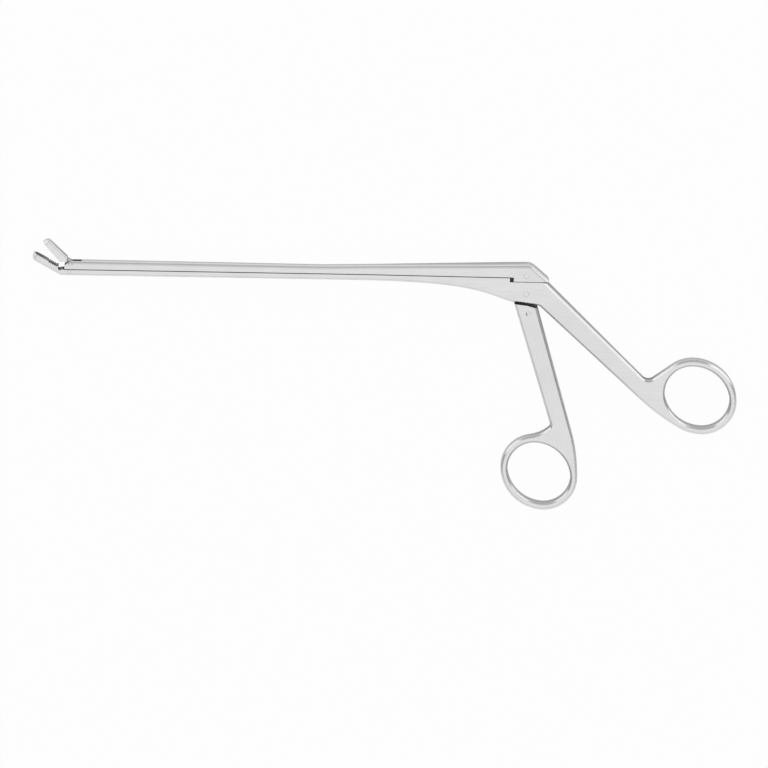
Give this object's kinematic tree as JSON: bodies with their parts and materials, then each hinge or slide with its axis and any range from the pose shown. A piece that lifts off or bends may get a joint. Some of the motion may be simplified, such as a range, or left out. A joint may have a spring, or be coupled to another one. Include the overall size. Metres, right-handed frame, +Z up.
{
  "type": "bone rongeur",
  "caption": "Long-shaft bone rongeur with ring handles: a sliding upper shaft closes a small upturned cup jaw onto a fixed one.",
  "frame": {"origin": "handle pivot axis, in the plane of the side that the instrument lies on", "axes": "+X along the shaft towards the handles, +Y from the fixed shaft to the sliding shaft, +Z up across the instrument"},
  "size_m": [0.2646, 0.1018, 0.007],
  "materials": {
    "satin_steel": "satin",
    "jaw_steel": "ground",
    "pin_steel": "ground flush"
  },
  "bodies": {
    "fixed_frame": {"fixed_shaft": "satin_steel", "handle_pivot_pin": "pin_steel", "jaw_pivot_pin": "pin_steel"},
    "front_handle": {"finger_handle": "satin_steel", "drive_tongue": "jaw_steel", "tongue_rivet": "pin_steel"},
    "slider": {"sliding_shaft": "satin_steel", "slider_drive_pin": "pin_steel", "jaw_drive_pin": "pin_steel"},
    "upper_jaw": {"moving_jaw": "jaw_steel"}
  },
  "joints": [
    {"name": "handle_hinge", "type": "hinge", "parent": "fixed_frame", "child": "front_handle", "pos_m": [0, 0, 0.0035], "axis": [0, 0, 1], "range_deg": [0, 8.8]},
    {"name": "shaft_slide", "type": "slide", "parent": "fixed_frame", "child": "slider", "axis": [-1, 0, 0], "range_m": [0, 0.00108]},
    {"name": "jaw_hinge", "type": "hinge", "parent": "fixed_frame", "child": "upper_jaw", "pos_m": [-0.1712, 0.0053, 0.0035], "axis": [0, 0, 1], "range_deg": [0, 20]}
  ],
  "couplings": [
    {"joint": "shaft_slide", "follows": "handle_hinge", "m_per_rad": 0.007},
    {"joint": "jaw_hinge", "follows": "handle_hinge", "ratio": 2.2694}
  ]
}
